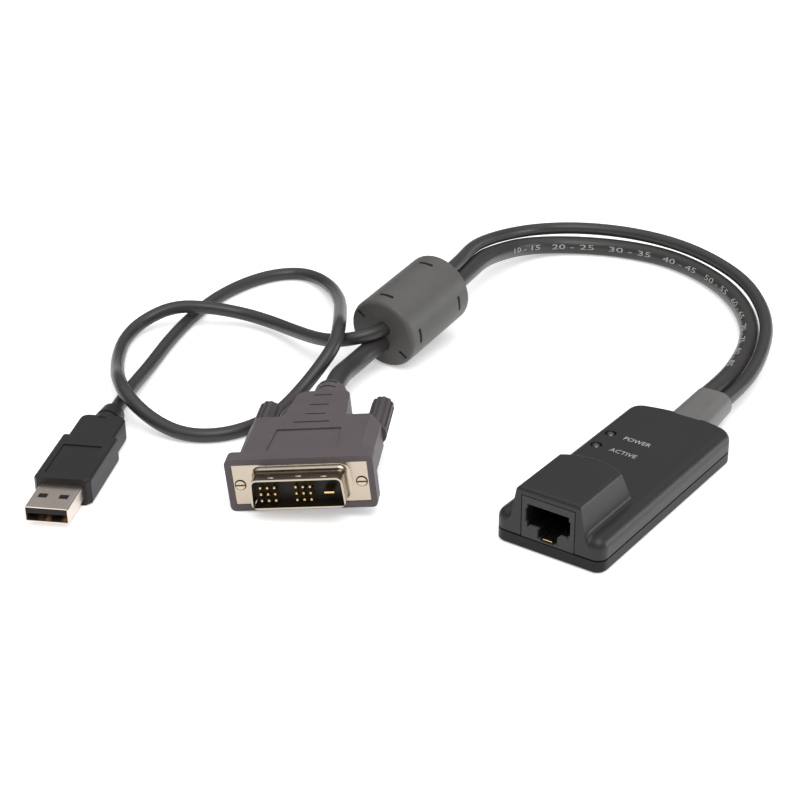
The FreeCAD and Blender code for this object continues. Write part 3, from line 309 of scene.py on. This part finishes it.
def cable_curve(name, route, diameter, material):
    """A round cable: a smooth spline through its route's control points."""
    data = bpy.data.curves.new(name, "CURVE")
    data.dimensions = "3D"
    data.bevel_depth = diameter / 2
    data.bevel_resolution = 6
    data.resolution_u = 10
    spline = data.splines.new("NURBS")
    spline.points.add(len(route) - 1)
    for point, spot in zip(spline.points, route):
        point.co = (*(part * MM for part in spot), 1.0)
    spline.order_u = 3
    spline.use_endpoint_u = True
    cable = bpy.data.objects.new(name, data)
    bpy.context.collection.objects.link(cable)
    data.materials.append(material)
    return cable


def smooth_run(route, steps=16):
    """Points along the spline of a route, with the length up to each."""
    spots = [Vector(spot) * MM for spot in route]
    points = []
    for index in range(1, len(spots) - 1):
        first = spots[0] if index == 1 else (spots[index - 1] + spots[index]) / 2
        last = spots[-1] if index == len(spots) - 2 else (spots[index] + spots[index + 1]) / 2
        for step in range(steps):
            t = step / steps
            points.append(first * (1 - t) ** 2 + spots[index] * (2 * t * (1 - t)) + last * t * t)
    points.append(spots[-1])
    lengths = [0.0]
    for before, after in zip(points, points[1:]):
        lengths.append(lengths[-1] + (after - before).length)
    return points, lengths


def on_run(points, lengths, distance):
    """Place and direction at a distance along a run."""
    index = max(1, min(len(points) - 1, sum(length < distance for length in lengths)))
    before, after = points[index - 1], points[index]
    share = (distance - lengths[index - 1]) / (lengths[index] - lengths[index - 1])
    return before.lerp(after, share), (after - before).normalized()


def attach(name, mesh, material):
    piece = bpy.data.objects.new(name, mesh)
    bpy.context.collection.objects.link(piece)
    mesh.materials.append(material)
    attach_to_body(piece, "dongle")
    return piece


def letters(words, size, resolution=4):
    """A thin flat mesh of words or numbers, centred on its origin."""
    data = bpy.data.curves.new("letters", "FONT")
    data.body = words
    data.size = size
    data.align_x = "CENTER"
    data.align_y = "CENTER"
    data.resolution_u = resolution
    data.extrude = 0.01 * MM
    text = bpy.data.objects.new("letters", data)
    bpy.context.collection.objects.link(text)
    bpy.context.view_layer.update()
    mesh = bpy.data.meshes.new_from_object(text.evaluated_get(bpy.context.evaluated_depsgraph_get()))
    bpy.data.objects.remove(text)
    bpy.data.curves.remove(data)
    return mesh


def reach_of(mesh, axis):
    """Lowest and highest place of a mesh along an axis."""
    places = [vertex.co[axis] for vertex in mesh.vertices]
    return min(places), max(places)


def make_captions(finishes):
    """Printed names of the two lamps."""
    caption_width = 8.1 * MM
    caption_height = 1.9 * MM
    for name, words, y in (("power_caption", "POWER", 13.6), ("active_caption", "ACTIVE", 5.8)):
        mesh = letters(words, 2.6 * MM)
        left, right = reach_of(mesh, 0)
        bottom, top = reach_of(mesh, 1)
        stretch = (caption_width / (right - left), caption_height / (top - bottom), 1.0, 1.0)
        mesh.transform(Matrix.Diagonal(stretch))
        mesh.transform(Matrix.Translation(Vector((-2.8, y, CAPTION_LEVEL)) * MM))
        attach(name, mesh, finishes["print_grey"])


def make_cable_print(finishes):
    """Plain length numbers printed along the video lead's inner side."""
    points, lengths = smooth_run(VIDEO_ROUTE)
    start = 18.0 * MM
    numbers = "   ".join(f"{10 * step} - {10 * step + 5}" for step in range(1, 9))
    mesh = letters(numbers, 2.45 * MM, 2)
    low, high = reach_of(mesh, 0)
    reach = 170.0 * MM
    for vertex in mesh.vertices:
        share = (vertex.co.x - low) / (high - low)
        centre, along = on_run(points, lengths, start + reach * (1.0 - share))
        inward = UP.cross(along).normalized()
        lift = math.radians(5.0 + 72.0 * share ** 2)
        out = inward * math.cos(lift) + UP * math.sin(lift)
        out = (out - along * out.dot(along)).normalized()
        above = out.cross(-along)
        around = vertex.co.y / (VIDEO_LEAD / 2 * MM)
        radius = PRINT_RADIUS * MM + vertex.co.z
        vertex.co = centre + (out * math.cos(around) + above * math.sin(around)) * radius
    attach("video_lead_print", mesh, finishes["print_grey"])


def scaled(spot, size):
    """A unit shape's place and size, both given in millimetres."""
    return Matrix.Translation(Vector(spot) * MM) @ Matrix.Diagonal((*(part * MM for part in size), 1.0))


def plug_frame(place, yaw, roll):
    """A plug's own frame, from its place in millimetres and its turns in degrees."""
    turn = Matrix.Rotation(math.radians(yaw), 4, "Z") @ Matrix.Rotation(math.radians(-roll), 4, "Y")
    return Matrix.Translation(Vector(place) * MM) @ turn


def domes(name, frame_of, spots, size, material):
    """Small rounded bumps at spots, each an ellipsoid of the given half sizes."""
    shape = bmesh.new()
    for spot in spots:
        place = frame_of @ scaled(spot, size)
        bmesh.ops.create_uvsphere(shape, u_segments=16, v_segments=10, radius=1.0, matrix=place)
    mesh = bpy.data.meshes.new(name)
    shape.to_mesh(mesh)
    shape.free()
    for face in mesh.polygons:
        face.use_smooth = True
    return attach(name, mesh, material)


def plates(name, frame_of, blocks, material):
    """Small bevelled plates: each block is its lowest corner and its size."""
    shape = bmesh.new()
    for corner, size in blocks:
        middle = Vector(corner) + Vector(size) / 2
        bmesh.ops.create_cube(shape, size=1.0, matrix=frame_of @ scaled(middle, size))
    edges = list(shape.edges)
    bmesh.ops.bevel(shape, geom=edges, offset=0.04 * MM, segments=2, affect="EDGES")
    mesh = bpy.data.meshes.new(name)
    shape.to_mesh(mesh)
    shape.free()
    return attach(name, mesh, material)


def make_plug_details(finishes):
    """Rounded pin tips and raised dots on the two plugs."""
    video = plug_frame(*VIDEO_PLUG)
    gold = finishes["gold_contacts"]
    nickel = finishes["nickel_shell"]
    usb_nickel = finishes["usb_shell_nickel"]
    tips = []
    for column in (0, 1, 2, 5, 6, 7):
        for row in range(3):
            tips.append((-3.09 + (column - 3.5) * PIN_PITCH, -5.1, PIN_AXIS + (row - 1) * PIN_PITCH))
    domes("video_pin_tips", video, tips, (0.37, 0.3, 0.37), gold)
    rim_top = PIN_AXIS + 4.44
    lugs = [(-6.8, -4.2, rim_top), (0.5, -3.7, rim_top), (7.3, -4.2, rim_top)]
    domes("video_shell_lugs", video, lugs, (0.95, 0.42, 0.16), nickel)
    usb = plug_frame(*USB_PLUG)
    shell_top = 4.46
    dimples = [(-2.9, 9.4, shell_top), (2.9, 9.4, shell_top), (0.0, 3.2, shell_top)]
    domes("usb_shell_dimples", usb, dimples, (0.5, 0.35, 0.08), usb_nickel)


def make_socket_details(finishes):
    """The two ledges at the foot of the socket's mouth and the spring between them."""
    housing = Matrix.Identity(4)
    ledges = [((-6.1, -37.95, 6.9), (3.0, 1.6, 0.14)), ((3.1, -37.95, 6.9), (3.0, 1.6, 0.14))]
    plates("socket_ledges", housing, ledges, finishes["ledge_grey"])
    spring = [((-1.3, -37.85, 4.85), (2.6, 1.5, 0.25))]
    plates("socket_spring", housing, spring, finishes["gold_contacts"])


def make_cables(finishes):
    """The two loose cables, drawn as splines in place of the CAD cables, which are hidden."""
    video = cable_curve("video_lead", VIDEO_ROUTE, VIDEO_LEAD * MM, finishes["cable_sheath"])
    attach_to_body(video, "dongle")
    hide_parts("video_cable")
    usb = cable_curve("usb_lead", USB_ROUTE, USB_LEAD * MM, finishes["cable_sheath"])
    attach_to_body(usb, "dongle")
    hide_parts("usb_cable")


def make_floor():
    """A white floor that glows a little where the camera and reflections see it."""
    mesh = bpy.data.meshes.new("floor")
    half = 3.0
    corners = [(-half, -half, 0), (half, -half, 0), (half, half, 0), (-half, half, 0)]
    mesh.from_pydata(corners, [], [(0, 1, 2, 3)])
    floor = bpy.data.objects.new("floor", mesh)
    bpy.context.collection.objects.link(floor)
    finish = Finish("floor_white", (0.93, 0.93, 0.93), 0.9, Specular_IOR_Level=0.0)
    path = finish.tree.nodes.new("ShaderNodeLightPath")
    seen = Value(finish, path.outputs["Is Camera Ray"]) + Value(finish, path.outputs["Is Glossy Ray"])
    glow = finish.node("ShaderNodeEmission", None, {"Strength": seen * 0.42})
    both = finish.tree.nodes.new("ShaderNodeAddShader")
    finish.tree.links.new(finish.shader.outputs[0], both.inputs[0])
    finish.tree.links.new(glow.socket, both.inputs[1])
    finish.tree.links.new(both.outputs[0], finish.tree.nodes["Material Output"].inputs["Surface"])
    mesh.materials.append(finish.data)


def make_finishes():
    return {
        "housing_black": housing_black("housing_black", (0.023, 0.0215, 0.0225), 0.34),
        # Painted shade: the bottom cover gets a copy of the housing plastic, a touch darker and less
        # glossy, so that it reads darker.
        "base_black_shaded": housing_black("base_black_shaded", (0.022, 0.021, 0.022), 0.14),
        "socket_plastic": socket_black(),
        "ledge_grey": moulded("ledge_grey", (0.12, 0.115, 0.11), 0.45, 2600.0, 0.1),
        "print_grey": moulded("print_grey", (0.42, 0.42, 0.41), 0.6, 1500.0, 0.05),
        "sleeve_grey": moulded("sleeve_grey", (0.108, 0.105, 0.101), 0.44, 1800.0, 0.12, 0.25),
        "boot_grey": moulded("boot_grey", (0.15, 0.146, 0.14), 0.4, 1800.0, 0.12, 0.4),
        "cable_sheath": moulded("cable_sheath", (0.042, 0.04, 0.039), 0.36, 1400.0, 0.1, 0.4),
        "hood_grey": moulded("hood_grey", (0.108, 0.093, 0.099), 0.5, 2200.0, 0.2),
        "grip_grey": moulded("grip_grey", (0.085, 0.074, 0.078), 0.5, 2200.0, 0.2),
        "usb_hood_black": moulded("usb_hood_black", (0.026, 0.0245, 0.0255), 0.46, 2600.0, 0.25, 0.25),
        "insulator_black": moulded("insulator_black", (0.012, 0.011, 0.011), 0.4, 2600.0, 0.1),
        "header_plastic": moulded("header_plastic", (0.6, 0.58, 0.5), 0.5, 1500.0, 0.1),
        "lead_sheath": moulded("lead_sheath", (0.3, 0.05, 0.04), 0.4, 1500.0, 0.1),
        "chip_black": moulded("chip_black", (0.02, 0.02, 0.021), 0.55, 3000.0, 0.2),
        "component_ceramic": moulded("component_ceramic", (0.25, 0.17, 0.1), 0.4, 2000.0, 0.1),
        "board_green": moulded("board_green", (0.01, 0.09, 0.035), 0.3, 900.0, 0.1),
        "ferrite_ceramic": moulded("ferrite_ceramic", (0.02, 0.02, 0.021), 0.6, 2500.0, 0.3),
        "lamp_lens": moulded("lamp_lens", (0.02, 0.02, 0.02), 0.08, 400.0, 0.0, 0.8),
        "nickel_shell": plated("nickel_shell", (0.50, 0.43, 0.345), 0.16),
        "usb_shell_nickel": plated("usb_shell_nickel", (0.74, 0.65, 0.58), 0.26),
        "screw_nickel": plated("screw_nickel", (0.56, 0.46, 0.33), 0.2),
        "screw_steel": plated("screw_steel", (0.5, 0.5, 0.5), 0.3),
        "gold_contacts": plated("gold_contacts", (0.78, 0.56, 0.25), 0.2),
        "crystal_can": plated("crystal_can", (0.75, 0.75, 0.73), 0.3),
    }


def dress_nodes(finishes):
    """Each CAD node gets its slot's finish; two nodes have one of their own, and the bottom cover's is
    a darker, less glossy copy of the housing plastic as painted shade.
    """
    slots = {part["node"]: part["material_slot"] for part in frame["record"]["subparts"]}
    slots["bottom_cover"] = "base_black_shaded"
    slots["cable_boot"] = "boot_grey"
    for node, piece in frame["nodes"].items():
        for slot in piece.material_slots:
            slot.material = finishes[slots[node]]


bpy.context.scene.view_settings.view_transform = "Standard"
make_camera()
make_world()
finishes = make_finishes()
dress_nodes(finishes)
make_cables(finishes)
make_captions(finishes)
make_cable_print(finishes)
make_plug_details(finishes)
make_socket_details(finishes)
make_floor()
area_light("overhead", (0.3, -0.3, 0.95), (-0.05, 0.05, 0.0), (0.8, 0.8), 6.0)
area_light("right", (0.7, 0.62, 0.16), (-0.05, 0.0, 0.01), (0.5, 0.3), 2.8, (0.95, 0.97, 1.0))
